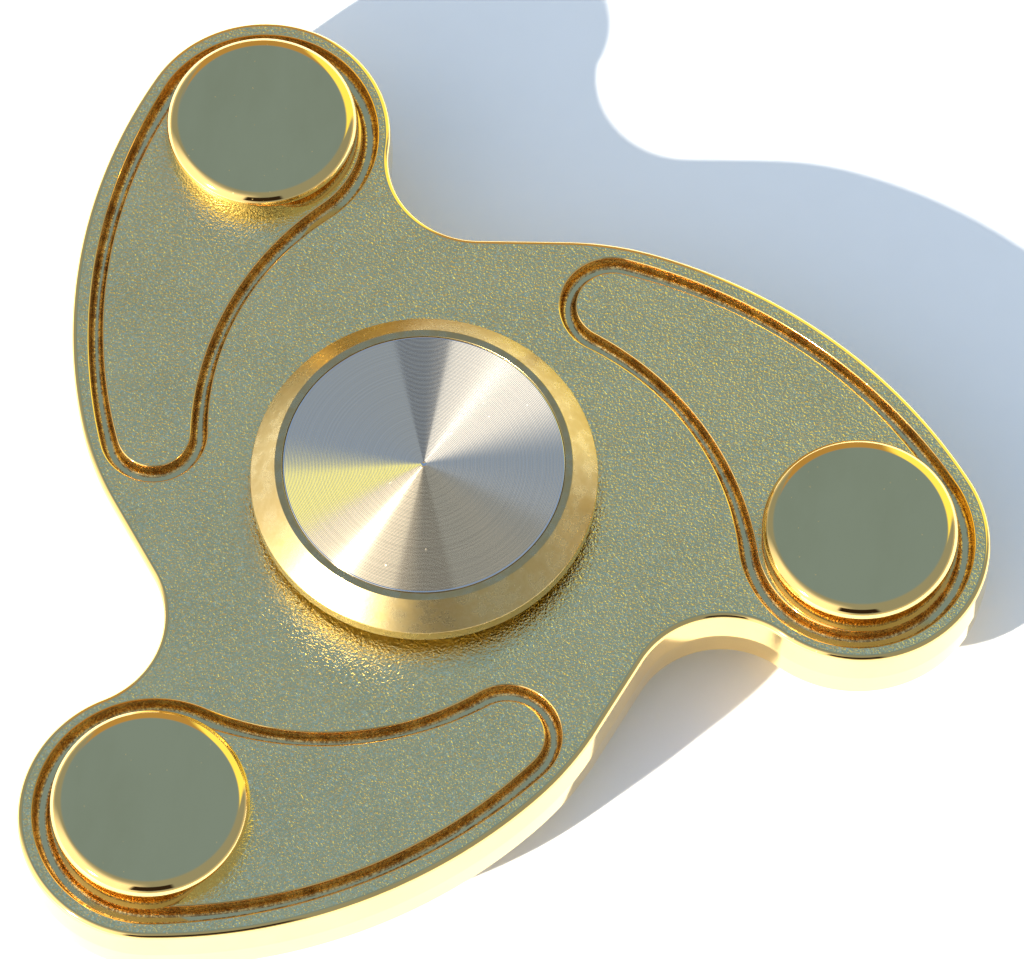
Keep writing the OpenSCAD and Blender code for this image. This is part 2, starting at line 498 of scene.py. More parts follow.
@dataclass(frozen=True)
class Arc:
    """Part of a circle in plan, turning left where its end angle is the larger."""

    centre: np.ndarray
    radius: float
    start: float
    end: float

    def trace(self, step: float) -> tuple[np.ndarray, np.ndarray]:
        """Points along the arc and their normals, which point right of the way along."""
        count = max(2, math.ceil(abs(math.radians(self.end - self.start)) * self.radius / step))
        angles = np.radians(np.linspace(self.start, self.end, count + 1))
        out = np.stack([np.cos(angles), np.sin(angles)], axis=1)
        return self.centre + self.radius * out, out if self.end > self.start else -out


@dataclass
class Line:
    """A run of plan points with the outward normal at each."""

    points: np.ndarray
    normals: np.ndarray

    @classmethod
    def through(cls, arcs: Iterable[Arc], step: float, closed: bool) -> "Line":
        """The line along arcs that run smoothly into each other.

        Args:
            arcs: the arcs in order.
            step: the longest gap between points.
            closed: whether the last point is the first one again.

        Returns:
            The line, with no point twice.
        """
        traced = [arc.trace(step) for arc in arcs]
        points = np.concatenate([t[0] for t in traced])
        normals = np.concatenate([t[1] for t in traced])
        gaps = np.linalg.norm(points - np.roll(points, 1, axis=0), axis=1)
        keep = gaps > 1 / FINENESS
        keep[0] = keep[0] or not closed
        return cls(points[keep], normals[keep])

    def inset(self, amount: float) -> np.ndarray:
        """The points moved inwards by an amount, or outwards where it is below 0."""
        return self.points - amount * self.normals


@dataclass(frozen=True)
class Comma:
    """The radii of a comma: its head, its tail, its bulging back and its hollow belly."""

    head: float
    tail: float
    back: float
    belly: float

    def arcs(self, head: np.ndarray, tail: np.ndarray) -> list[Arc]:
        """Draws the comma.

        Args:
            head: the head's centre.
            tail: the tail's centre.

        Returns:
            Its arcs in order, anticlockwise.
        """
        cb = meet(head, self.back - self.head, tail, self.back - self.tail)
        cy = meet(head, self.belly + self.head, tail, self.belly + self.tail)
        back0 = heading(cb, head)
        back1 = after(back0, heading(cb, tail))
        tail1 = after(back1, heading(tail, cy))
        belly0 = heading(cy, tail)
        belly1 = after(belly0 - 360, heading(cy, head))
        head0 = heading(head, cy)
        return [
            Arc(cb, self.back, back0, back1),
            Arc(tail, self.tail, back1, tail1),
            Arc(cy, self.belly, belly0, belly1),
            Arc(head, self.head, head0, after(head0, back0)),
        ]


# ---- meshes ---------------------------------------------------------------


def quarter(radius: float, steps: int) -> list[Point]:
    """A quarter round from its flat to its wall: how far out and how far down each point is."""
    angles = [math.pi / 2 * i / steps for i in range(steps + 1)]
    return [(radius * math.sin(a) - radius, radius * math.cos(a) - radius) for a in angles]


def rounded(corners: Sequence[Triple], steps: int = 5) -> np.ndarray:
    """A profile with its corners rounded.

    Args:
        corners: radius, height and rounding of each corner.
        steps: how many chords each rounding has.

    Returns:
        The profile's points.
    """
    out: list[np.ndarray] = []
    for i, (r, z, fillet) in enumerate(corners):
        here = np.array([r, z])
        if fillet <= 0 or i in (0, len(corners) - 1):
            out.append(here)
            continue
        before = np.array(corners[i - 1][:2]) - here
        beyond = np.array(corners[i + 1][:2]) - here
        u, v = before / np.linalg.norm(before), beyond / np.linalg.norm(beyond)
        half = math.acos(max(-1.0, min(1.0, float(u @ v)))) / 2
        centre = here + (u + v) / np.linalg.norm(u + v) * fillet / math.sin(half)
        first = here + u * fillet / math.tan(half) - centre
        last = here + v * fillet / math.tan(half) - centre
        sweep = math.pi - 2 * half
        for k in range(steps + 1):
            share = k / steps
            spoke = math.sin((1 - share) * sweep) * first + math.sin(share * sweep) * last
            out.append(centre + spoke / math.sin(sweep))
    return np.array(out)


class Skin(IntEnum):
    """How a face of the body is finished."""

    BLASTED = 0
    POLISHED = 1
    GROOVED = 2


class Shell:
    """Collects faces whose corners are shared wherever they fall on the same place."""

    def __init__(self) -> None:
        """Starts empty."""
        self.places: dict[tuple[int, int, int], int] = {}
        self.points: list[Triple] = []
        self.faces: list[list[int]] = []
        self.skins: list[int] = []

    def corner(self, x: float, y: float, z: float) -> int:
        """The number of the corner at that place."""
        key = (round(x * FINENESS), round(y * FINENESS), round(z * FINENESS))
        if key not in self.places:
            self.places[key] = len(self.points)
            self.points.append((x * MM, y * MM, z * MM))
        return self.places[key]

    def face(self, corners: Sequence[int], skin: Skin) -> None:
        """Adds a face, unless it has shrunk to a line."""
        loop = [c for i, c in enumerate(corners) if c != corners[i - 1]]
        if len(loop) > 2:
            self.faces.append(loop)
            self.skins.append(int(skin))

    def strip(self, rows: Sequence[tuple[np.ndarray, float]], closed: bool, skin: Skin) -> None:
        """Joins rows of plan points, each at its height, with quads.

        Args:
            rows: the plan points and the height of each row, all with as many points.
            closed: whether each row's end joins its start.
            skin: how the faces are finished.
        """
        numbers = [[self.corner(x, y, z) for x, y in points] for points, z in rows]
        count = len(numbers[0])
        for low, high in zip(numbers, numbers[1:]):
            for i in range(count if closed else count - 1):
                j = (i + 1) % count
                self.face([low[i], low[j], high[j], high[i]], skin)

    def flat(self, outer: np.ndarray, holes: Sequence[np.ndarray], z: float, skin: Skin) -> None:
        """Fills a flat face.

        Args:
            outer: its outline.
            holes: the outlines of its holes.
            z: its height.
            skin: how it is finished.
        """
        loops = [outer, *holes]
        points: list[Vector] = []
        edges: list[tuple[int, int]] = []
        for loop in loops:
            first = len(points)
            points += [Vector(p) for p in loop]
            edges += [(first + i, first + (i + 1) % len(loop)) for i in range(len(loop))]
        made, _, triangles, *_ = delaunay_2d_cdt(points, edges, [], INSIDE_ONLY, SLACK)
        spots = np.array([tuple(p) for p in made])
        middles = spots[np.array(triangles)].mean(axis=1)
        keep = within(middles, outer)
        for hole in holes:
            keep &= ~within(middles, hole)
        numbers = [self.corner(x, y, z) for x, y in spots]
        for triangle, kept in zip(triangles, keep, strict=True):
            if kept:
                self.face([numbers[k] for k in triangle], skin)

    def mesh(self, name: str) -> bpy.types.Mesh:
        """The faces as a mesh, with the finish of each in an attribute."""
        mesh = bpy.data.meshes.new(name)
        mesh.from_pydata(self.points, [], self.faces)
        marks = mesh.attributes.new("skin", "INT", "FACE")
        marks.data.foreach_set("value", self.skins)
        mesh.update()
        return mesh


def within(spots: np.ndarray, loop: np.ndarray) -> np.ndarray:
    """Which plan points lie inside a closed loop.

    Args:
        spots: the points.
        loop: the loop's points.

    Returns:
        True for each point inside.
    """
    ends = np.roll(loop, -1, axis=0)
    inside = np.zeros(len(spots), bool)
    for (x0, y0), (x1, y1) in zip(loop, ends, strict=True):
        crosses = (y0 > spots[:, 1]) != (y1 > spots[:, 1])
        rise = y1 - y0 if y1 != y0 else 1.0
        inside ^= crosses & (spots[:, 0] < (x1 - x0) * (spots[:, 1] - y0) / rise + x0)
    return inside


def close_up(mesh: bpy.types.Mesh) -> None:
    """Welds doubled corners and turns every face outwards."""
    work = bmesh.new()
    work.from_mesh(mesh)
    bmesh.ops.remove_doubles(work, verts=work.verts, dist=WELD)
    bmesh.ops.recalc_face_normals(work, faces=work.faces)
    work.to_mesh(mesh)
    work.free()
    mesh.update()


def column(items: Any, name: str, kind: type, width: int = 1) -> np.ndarray:
    """One property of every item.

    Args:
        items: the mesh's corners or faces.
        name: the property.
        kind: the type of its numbers.
        width: how many numbers it has.

    Returns:
        Its numbers, in a row for each item where it has several.
    """
    values = np.empty(width * len(items), kind)
    items.foreach_get(name, values)
    return values if width == 1 else values.reshape(-1, width)


def fair_normals(mesh: bpy.types.Mesh, bend: float = SMOOTH_BEND) -> None:
    """Gives each face corner the area-weighted normal of the faces that bend gently into it.

    Args:
        mesh: the mesh.
        bend: the largest angle in degrees between faces that shade as one surface.
    """
    mesh.polygons.foreach_set("use_smooth", np.ones(len(mesh.polygons), bool))
    corners = column(mesh.loops, "vertex_index", np.int32)
    sizes = column(mesh.polygons, "loop_total", np.int32)
    normals = column(mesh.polygons, "normal", np.float32, 3)
    areas = column(mesh.polygons, "area", np.float32)
    faces = np.repeat(np.arange(len(sizes)), sizes)
    order = np.argsort(corners, kind="stable")
    counts = np.bincount(corners, minlength=len(mesh.vertices))
    first = (np.cumsum(counts) - counts)[corners[order]]
    span = counts[corners[order]]
    own = faces[order]
    total = np.zeros((len(order), 3))
    for k in range(int(counts.max())):
        other = own[np.minimum(first + k, len(own) - 1)]
        near = np.einsum("ij,ij->i", normals[own], normals[other]) > math.cos(math.radians(bend))
        share = ((k < span) & near) * areas[other]
        total += share[:, None] * normals[other]
    total /= np.linalg.norm(total, axis=1)[:, None] + 1.0e-20
    fair = np.empty_like(total)
    fair[order] = total
    mesh.normals_split_custom_set(fair.tolist())


def bare_object(name: str, data: bpy.types.ID) -> bpy.types.Object:
    """A new object at the origin that holds a mesh, a lamp or a camera."""
    piece = bpy.data.objects.new(name, data)
    bpy.context.scene.collection.objects.link(piece)
    return piece


def baked(piece: bpy.types.Object, name: str) -> bpy.types.Mesh:
    """Turns a piece with modifiers into a plain mesh.

    Args:
        piece: the piece, which is used up.
        name: the mesh's name.

    Returns:
        The mesh.
    """
    piece.update_tag()
    bpy.context.view_layer.update()
    ready = piece.evaluated_get(bpy.context.evaluated_depsgraph_get())
    mesh = bpy.data.meshes.new_from_object(ready)
    piece.modifiers.clear()
    bpy.data.objects.remove(piece)
    mesh.name = name
    return mesh


# ---- geometry nodes -------------------------------------------------------


class Recipe(Book):
    """A geometry node tree with named inputs, run on a mesh and baked to a plain one."""

    def __init__(self, name: str, inputs: dict[str, str]) -> None:
        """Makes the tree.

        Args:
            name: the tree's name.
            inputs: the kind of each named input after the geometry.
        """
        super().__init__(bpy.data.node_groups.new(name, "GeometryNodeTree"))
        face = self.tree.interface
        face.new_socket("Geometry", in_out="INPUT", socket_type="NodeSocketGeometry")
        face.new_socket("Geometry", in_out="OUTPUT", socket_type="NodeSocketGeometry")
        for title, kind in inputs.items():
            face.new_socket(title, in_out="INPUT", socket_type=f"NodeSocket{kind}")
        self.given = self.add("NodeGroupInput")

    def about_the_hub(self, shape: Wire, copies: Wire, reach: Wire | float) -> Wire:
        """Repeats a shape evenly about the spin axis and makes the copies real.

        Args:
            shape: the shape, on arm 1.
            copies: how many.
            reach: how far from the spin axis each copy's own origin is.

        Returns:
            The real copies.
        """
        angle = self.add("GeometryNodeInputIndex").out() * TURN / copies
        across, away = self.maths("COSINE", angle) * reach, angle.sine() * reach
        spot = self.add("ShaderNodeCombineXYZ", {}, {0: across, 1: away})
        turn = self.add("ShaderNodeCombineXYZ", {}, {2: angle})
        dots = self.add("GeometryNodePoints", {}, {"Count": copies, "Position": spot.out()})
        set_out = self.add(
            "GeometryNodeInstanceOnPoints",
            {},
            {"Points": dots.out(), "Instance": shape, "Rotation": turn.out()},
        )
        return self.add("GeometryNodeRealizeInstances", {}, {"Geometry": set_out.out()}).out()

    def weld(self, shape: Wire) -> Wire:
        """Merges corners that meet."""
        return self.add("GeometryNodeMergeByDistance", {}, {"Geometry": shape, "Distance": WELD}).out()

    def dress(self, shape: Wire, finish: Wire, chosen: Wire | None = None) -> Wire:
        """Sets a material, on the chosen faces where some are chosen."""
        sockets: dict[str | int, Any] = {"Geometry": shape, "Material": finish}
        if chosen is not None:
            sockets["Selection"] = chosen
        return self.add("GeometryNodeSetMaterial", {}, sockets).out()

    def end(self, shape: Wire) -> "Recipe":
        """Ends the tree with that shape."""
        self.add("NodeGroupOutput", {}, {"Geometry": shape})
        return self

    def bake(self, name: str, start: bpy.types.Mesh, values: dict[str, Any]) -> bpy.types.Mesh:
        """Runs the tree.

        Args:
            name: the result's name.
            start: the mesh that it works on.
            values: a value for each named input.

        Returns:
            The result as a plain mesh.
        """
        holder = bare_object(f"{name}_start", start)
        worker = holder.modifiers.new(self.tree.name, "NODES")
        worker.node_group = self.tree
        face = self.tree.interface.items_tree
        keys = {item.name: item.identifier for item in face if item.in_out == "INPUT"}
        for title, value in values.items():
            worker[keys[title]] = value
        return baked(holder, name)


def arms_recipe() -> Recipe:
    """The tree that sets one arm's shell round the hub and dresses each face by its skin."""
    finishes = {"Face Finish": "Material", "Wall Finish": "Material", "Groove Finish": "Material"}
    recipe = Recipe("arms_round_hub", {"Arms": "Int", **finishes})
    given = recipe.given
    arms = recipe.about_the_hub(given.out("Geometry"), given.out("Arms"), 0.0)
    mark = recipe.add("GeometryNodeInputNamedAttribute", {"data_type": "INT"}, {"Name": "skin"})
    dressed = recipe.dress(recipe.weld(arms), given.out("Face Finish"))
    for skin, finish in ((Skin.POLISHED, "Wall Finish"), (Skin.GROOVED, "Groove Finish")):
        chosen = recipe.maths("GREATER_THAN", mark.out("Attribute"), int(skin) - 0.5)
        dressed = recipe.dress(dressed, given.out(finish), chosen)
    return recipe.end(dressed)


def lathe_recipe() -> Recipe:
    """The tree that turns a profile about its own axis and sets copies round the hub."""
    inputs = {"Segments": "Int", "Copies": "Int", "Reach": "Float", "Finish": "Material"}
    recipe = Recipe("lathe", inputs)
    given = recipe.given
    profile, segments = given.out("Geometry"), given.out("Segments")
    size = recipe.add("GeometryNodeAttributeDomainSize", {"component": "MESH"}, {"Geometry": profile})
    rows = size.out("Point Count")
    grid = recipe.add("GeometryNodeMeshGrid", {}, {"Vertices X": segments + 1.0, "Vertices Y": rows})
    number = recipe.add("GeometryNodeInputIndex").out()
    column = ((number + 0.5) / rows).whole()
    spot = recipe.add("GeometryNodeInputPosition").out()
    place = recipe.add(
        "GeometryNodeSampleIndex",
        {"data_type": "FLOAT_VECTOR", "domain": "POINT"},
        {"Geometry": profile, "Value": spot, "Index": number - column * rows},
    )
    turned = recipe.add(
        "ShaderNodeVectorRotate",
        {"rotation_type": "Z_AXIS"},
        {"Vector": place.out(), "Angle": column * TURN / segments},
    )
    skin = recipe.add("GeometryNodeSetPosition", {}, {"Geometry": grid.out("Mesh"), "Position": turned.out()})
    copies = recipe.about_the_hub(recipe.weld(skin.out()), given.out("Copies"), given.out("Reach"))
    return recipe.end(recipe.dress(copies, given.out("Finish")))


class Lathe:
    """Turns profiles into finished meshes."""

    def __init__(self) -> None:
        """Builds the tree once for every turned piece."""
        self.recipe = lathe_recipe()

    def turn(
        self,
        name: str,
        profile: np.ndarray,
        finish: Finish,
        segments: int = 144,
        copies: int = 1,
        reach: float = 0.0,
        bend: float = SMOOTH_BEND,
    ) -> bpy.types.Mesh:
        """Turns a profile about its axis.

        Args:
            name: the mesh's name.
            profile: radius and height of each point, from axis to axis or closed on itself.
            finish: its finish.
            segments: how many facets go round.
            copies: how many copies stand round the hub.
            reach: how far the copies' axes are from the spin axis.
            bend: the largest angle between faces that shade as one surface.

        Returns:
            The closed mesh, with fair normals.
        """
        start = bpy.data.meshes.new(f"{name}_profile")
        start.from_pydata([(r * MM, 0.0, z * MM) for r, z in profile], [], [])
        values = {"Segments": segments, "Copies": copies, "Reach": reach * MM, "Finish": finish.material()}
        mesh = self.recipe.bake(name, start, values)
        close_up(mesh)
        fair_normals(mesh, bend)
        return mesh


def show(name: str, mesh: bpy.types.Mesh, body: str, nodes: Sequence[str]) -> bpy.types.Object:
    """Shows a finished piece in place of CAD nodes.

    Args:
        name: the piece's name.
        mesh: its mesh.
        body: the CAD body that it rides on.
        nodes: the CAD nodes that it stands for.

    Returns:
        The piece.
    """
    piece = bare_object(name, mesh)
    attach(piece, body)
    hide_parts(*nodes)
    log.info("%s: %d faces, on %s, for %s", name, len(mesh.polygons), body, ", ".join(nodes))
    return piece


# ---- sub-assemblies -------------------------------------------------------


@dataclass
class Stack:
    """The heights that all pieces share."""

    total: float = 12.9
    body: float = 5.4
    bearing: float = 4.762

    @property
    def middle(self) -> float:
        """The middle of the stack."""
        return self.total / 2

    @property
    def face(self) -> float:
        """The height of the body's upper face."""
        return self.middle + self.body / 2

    @property
    def bearing_low(self) -> float:
        """The height of the bearing's lower side."""
        return self.middle - self.bearing / 2


@dataclass
class SwirlBody:
    """The plated body with its three swirling arms."""

    stack: Stack
    arms: int = 3
    arm_reach: float = 27.75
    head_r: float = 8.44
    back_r: float = 34.84
    shoulder_r: float = 20.55
    shoulder_off: float = 9.1
    shoulder_dir: float = -10.0
    waist_r: float = 5.85
    waist_dir: float = -120.0
    groove_depth: float = 0.9
    groove_head_shift: float = 0.15
    tail_off: float = 17.75
    tail_dir: float = 54.5
    groove_edge: Comma = Comma(head=7.45, tail=3.4, back=35.8, belly=18.3)
    island_edge: Comma = Comma(head=6.4, tail=2.4, back=32.5, belly=21.1)
    seat_r: float = 6.35
    bearing_seat_r: float = 6.35
    bearing_lip_r: float = 5.7
    edge_round: float = 0.38
    wall_draft: float = 0.10
    parting_half: float = 0.10
    groove_lip: float = 0.12
    groove_draft: float = 0.10
    groove_fillet: float = 0.27
    bore_chamfer: float = 0.15
    step: float = 0.26
    bore_step: float = 0.9
    lip_steps: int = 4
    round_steps: int = 6

    @property
    def head(self) -> np.ndarray:
        """The centre of arm 1's head."""
        return np.array([self.arm_reach, 0.0])

    def third(self) -> Line:
        """One third of the outline, from the waist before arm 1 to the waist after it."""
        share = 360.0 / self.arms
        shoulder = polar(self.shoulder_off, self.shoulder_dir)
        waist = self.head + polar(self.head_r + self.waist_r, self.waist_dir)
        back = meet(self.head, self.back_r - self.head_r, shoulder, self.back_r - self.shoulder_r)
        next_waist = spun(waist, share)
        reach = float(np.linalg.norm(next_waist - shoulder))
        opening = math.degrees(math.acos((self.shoulder_r + self.waist_r) / reach))
        flank = heading(shoulder, next_waist) - opening
        waist0 = flank + 180 - share
        back0 = heading(back, self.head)
        back1 = after(back0, heading(back, shoulder))
        arcs = [
            Arc(waist, self.waist_r, waist0, after(waist0 - 360, self.waist_dir + 180)),
            Arc(self.head, self.head_r, self.waist_dir, after(self.waist_dir, back0)),
            Arc(back, self.back_r, back0, back1),
            Arc(shoulder, self.shoulder_r, back1, after(back1, flank)),
        ]
        line = Line.through(arcs, self.step, closed=False)
        return Line(
            np.vstack([line.points, spun(line.points[:1], share)]),
            np.vstack([line.normals, spun(line.normals[:1], share)]),
        )

    def groove(self) -> tuple[Line, Line]:
        """The groove's outer wall and the wall of the island inside it."""
        tail = polar(self.tail_off, self.tail_dir)
        head = self.head - np.array([self.groove_head_shift, 0.0])
        outer, island = (
            Line.through(edge.arcs(head, tail), self.step, closed=True)
            for edge in (self.groove_edge, self.island_edge)
        )
        return outer, island

    def bore_edge(self, third: Line, radius: float) -> np.ndarray:
        """A third of the bore at that radius, from the cut where the outline's third starts."""
        start = heading(np.zeros(2), third.points[0])
        return Arc(np.zeros(2), radius, start, start + 360.0 / self.arms).trace(self.bore_step)[0]

    def _face(self, shell: Shell, third: Line, side: int, bore_r: float) -> None:
        """Adds one face with its groove.

        Args:
            shell: the shell to add to.
            third: the outline.
            side: 1 for the upper face and -1 for the lower.
            bore_r: the bore's radius where it meets this face.
        """
        outer, island = self.groove()
        middle, half = self.stack.middle, self.stack.body / 2

        def level(drop: float) -> float:
            """The height that far below this face."""
            return middle + side * (half - drop)

        bore = self.bore_edge(third, bore_r + self.bore_chamfer)
        sheet = np.vstack([third.inset(self.edge_round + self.wall_draft), bore[::-1]])
        lip = self.groove_lip
        shell.flat(sheet, [outer.inset(-lip)], level(0.0), Skin.BLASTED)
        shell.flat(island.inset(lip), [], level(0.0), Skin.BLASTED)
        reach = self.groove_draft + self.groove_fillet
        floor = level(self.groove_depth)
        shell.flat(outer.inset(reach), [island.inset(-reach)], floor, Skin.POLISHED)
        for wall, outward in ((outer, 1), (island, -1)):
            brow = [(wall.inset(outward * out), level(-down)) for out, down in quarter(lip, self.lip_steps)]
            shell.strip(brow, closed=True, skin=Skin.POLISHED)
            side_wall = [brow[-1]] + [
                (wall.inset(outward * (self.groove_draft - out)), level(self.groove_depth + down))
                for out, down in quarter(self.groove_fillet, self.round_steps)[::-1]
            ]
            shell.strip(side_wall, closed=True, skin=Skin.GROOVED)

    def arm_shell(self) -> bpy.types.Mesh:
        """One third of the body as a shell that is open at the two cuts."""
        shell = Shell()
        third = self.third()
        self._face(shell, third, 1, self.bearing_seat_r)
        self._face(shell, third, -1, self.bearing_lip_r)
        middle, half = self.stack.middle, self.stack.body / 2
        corner = quarter(self.edge_round, self.round_steps)
        brim = [(self.wall_draft - out, half + down) for out, down in corner]
        brim.append((0.0, self.parting_half))
        rows = [(third.inset(inset), middle + rise) for inset, rise in brim]
        rows += [(third.inset(inset), middle - rise) for inset, rise in brim[::-1]]
        shell.strip(rows, closed=False, skin=Skin.POLISHED)
        cut, top, low = self.bore_chamfer, middle + half, middle - half
        profile = [
            (self.bearing_seat_r + cut, top),
            (self.bearing_seat_r, top - cut),
            (self.bearing_seat_r, self.stack.bearing_low),
            (self.bearing_lip_r, self.stack.bearing_low),
            (self.bearing_lip_r, low + cut),
            (self.bearing_lip_r + cut, low),
        ]
        start, share = heading(np.zeros(2), third.points[0]), 360.0 / self.arms
        # The rows have as many points as the faces' own bore edges
        upper, lower = (len(self.bore_edge(third, profile[end][0])) for end in (0, -1))

        def round_row(radius: float, count: int) -> np.ndarray:
            """Points round the bore at that radius."""
            return np.array([polar(radius, start + share * i / (count - 1)) for i in range(count)])

        for part, count in ((profile[:3], upper), (profile[3:], lower)):
            shell.strip([(round_row(r, count), z) for r, z in part], closed=False, skin=Skin.POLISHED)
        seat = np.vstack([round_row(self.bearing_seat_r, upper), round_row(self.bearing_lip_r, lower)[::-1]])
        shell.flat(seat, [], self.stack.bearing_low, Skin.POLISHED)
        return shell.mesh("arm_shell")

    def build(self, lathe: Lathe) -> bpy.types.Object:
        """Makes the body, bored for its weights."""
        values = {
            "Arms": self.arms,
            "Face Finish": Finish.BLASTED.material(),
            "Wall Finish": Finish.POLISHED.material(),
            "Groove Finish": Finish.GROOVED.material(),
        }
        mesh = arms_recipe().bake("swirl_body", self.arm_shell(), values)
        close_up(mesh)
        body = bare_object("body_blank", mesh)
        low, high = -1.0, self.stack.total + 1.0
        plug = np.array([(0.0, low), (self.seat_r, low), (self.seat_r, high), (0.0, high)])
        plugs = lathe.turn("seat_cutter", plug, Finish.POLISHED, 144, self.arms, self.arm_reach)
        cutter = bare_object("seat_cutter", plugs)
        bore = body.modifiers.new("weight_seats", "BOOLEAN")
        bore.operation, bore.solver, bore.object = "DIFFERENCE", "EXACT", cutter
        bored = baked(body, "swirl_body")
        bpy.data.objects.remove(cutter)
        close_up(bored)
        fair_normals(bored)
        return show("swirl_body", bored, "rotor", ["body"])


@dataclass
class ArmWeights:
    """The three polished weights pressed into the arms."""

    stack: Stack
    count: int = 3
    reach: float = 27.75
    radius: float = 6.35
    proud: float = 2.2
    draft: float = 0.14
    crown_width: float = 0.98
    crown_drop: float = 0.85
    crown_steps: int = 14

    def build(self, lathe: Lathe) -> bpy.types.Object:
        """Makes the weights as one piece, since all ride on the rotor."""
        low = self.stack.middle - self.stack.body / 2 - self.proud
        high = self.stack.middle + self.stack.body / 2 + self.proud
        crown = [
            (self.radius - self.draft + out * self.crown_width, down * self.crown_drop)
            for out, down in quarter(1.0, self.crown_steps)
        ]
        profile = [(0.0, low), *((r, low - drop) for r, drop in crown)]
        profile += [(self.radius, low + self.proud), (self.radius, high - self.proud)]
        profile += [*((r, high + drop) for r, drop in crown[::-1]), (0.0, high)]
        mesh = lathe.turn("arm_weights", np.array(profile), Finish.WEIGHT, 144, self.count, self.reach)
        names = [f"weight_{i + 1}" for i in range(self.count)]
        return show("arm_weights", mesh, "rotor", names)


class Side(Enum):
    """Which side of the spinner a cap is on."""

    TOP = "top"
    BOTTOM = "bottom"


@dataclass
class FingerCap:
    """A finger cap with its turned inlay."""

    stack: Stack
    side: Side
    rim_r: float = 11.0
    lip_r: float = 9.4
    inlay_r: float = 8.9
    inlay_t: float = 0.5
    seat_gap: float = 0.03
    under: float = 2.65
    neck_r: float = 3.95
    spigot_r: float = 3.16
    spigot_end: float = 6.35
    screw_r: float = 1.5
    screw_end: float = 9.65
    hole_r: float = 1.52
    hole_end: float = 2.85
    rim_round: float = 0.16
    lip_round: float = 0.07
    ring_pitch: float = 0.09
    ring_slope: float = 0.44
    ring_lean: float = 0.42
    ring_steps: int = 4
    ring_gap: float = 0.02
    ring_bend: float = 20.0
    first_ring: float = 0.15
    last_ring: float = 8.79
    cap_facets: int = 192
    inlay_facets: int = 144

    def _placed(self, profile: np.ndarray) -> np.ndarray:
        """The profile on this cap's side of the stack."""
        if self.side is Side.BOTTOM:
            return profile
        return np.stack([profile[:, 0], self.stack.total - profile[:, 1]], axis=1)

    def cap_profile(self) -> np.ndarray:
        """The cap's profile from its seat out to the rim and back in to the axis."""
        bevel = self.rim_r - self.lip_r
        seat = self.inlay_r + self.seat_gap
        neck = self.stack.bearing_low
        corners = [
            (0.0, self.inlay_t, 0.0),
            (seat, self.inlay_t, 0.0),
            (seat, 0.0, 0.04),
            (self.lip_r, 0.0, self.lip_round),
            (self.rim_r, bevel, self.rim_round),
            (self.rim_r, self.under, self.rim_round),
            (self.neck_r, self.under, 0.2),
            (self.neck_r, neck, 0.08),
            (self.spigot_r, neck, 0.0),
            (self.spigot_r, self.spigot_end, 0.12),
        ]
        if self.side is Side.BOTTOM:
            corners += [
                (self.screw_r, self.spigot_end, 0.1),
                (self.screw_r, self.screw_end, 0.2),
                (0.0, self.screw_end, 0.0),
            ]
        else:
            corners += [
                (self.hole_r, self.spigot_end, 0.06),
                (self.hole_r, self.hole_end, 0.0),
                (0.0, self.hole_end, 0.0),
            ]
        return self._placed(rounded(corners))

    def rings(self) -> np.ndarray:
        """The face's tool marks: shallow hollow rings that all lean towards the middle."""
        count = round((self.last_ring - self.first_ring) / self.ring_pitch)
        marks = []
        for ring in range(count):
            inner = self.first_ring + ring * self.ring_pitch
            for k in range(self.ring_steps + 1):
                share = k / self.ring_steps
                hollow = self.ring_slope * share * (1 - share) + self.ring_lean * (1 - share)
                # Neighbouring rings meet in a step, so their ends are a hair apart
                across = self.ring_gap + (1 - 2 * self.ring_gap) * share
                marks.append((inner + across * self.ring_pitch, hollow * self.ring_pitch))
        return np.array(marks)

    def inlay_profile(self) -> np.ndarray:
        """The inlay's profile, with its edge eased and its face turned in rings."""
        corners = [
            (self.last_ring + self.ring_gap, 0.0, 0.0),
            (self.inlay_r, 0.0, 0.06),
            (self.inlay_r, self.inlay_t, 0.05),
            (0.0, self.inlay_t, 0.0),
        ]
        middle = np.array([(0.0, 0.0)])
        return self._placed(np.vstack([middle, self.rings(), rounded(corners)]))

    def build(self, lathe: Lathe) -> list[bpy.types.Object]:
        """Makes the cap and its inlay."""
        side = self.side.value
        cap_name, inlay_name = f"{side}_finger_cap", f"{side}_turned_inlay"
        cap = lathe.turn(cap_name, self.cap_profile(), Finish.CAP, self.cap_facets)
        inlay = lathe.turn(
            inlay_name, self.inlay_profile(), Finish.INLAY, self.inlay_facets, bend=self.ring_bend
        )
        return [
            show(cap_name, cap, "hub", [f"{side}_cap"]),
            show(inlay_name, inlay, "hub", [f"{side}_inlay"]),
        ]


@dataclass
class Bearing:
    """The ball bearing, whose CAD nodes keep their shapes and get their metals."""

    finishes: dict[str, Finish] = field(
        default_factory=lambda: {
            "snap": Finish.WIRE,
            "ring": Finish.RINGS,
            "cage": Finish.CAGE,
            "shield": Finish.SHIELD,
            "ball": Finish.BALL,
        }
    )

    def finish_of(self, node: str) -> Finish:
        """The finish of a bearing node, by the word in its name."""
        words = node.split("_")
        return next(finish for word, finish in self.finishes.items() if word in words)

    def build(self, nodes: dict[str, bpy.types.Object]) -> None:
        """Dresses each bearing node."""
        for name, node in nodes.items():
            if not name.startswith("bearing_"):
                continue
            finish = self.finish_of(name)
            if not node.material_slots:
                node.data.materials.append(finish.material())
            for slot in node.material_slots:
                slot.material = finish.material()
            log.info("%s: kept, dressed as %s", name, finish.value[0])


# ---- studio ---------------------------------------------------------------


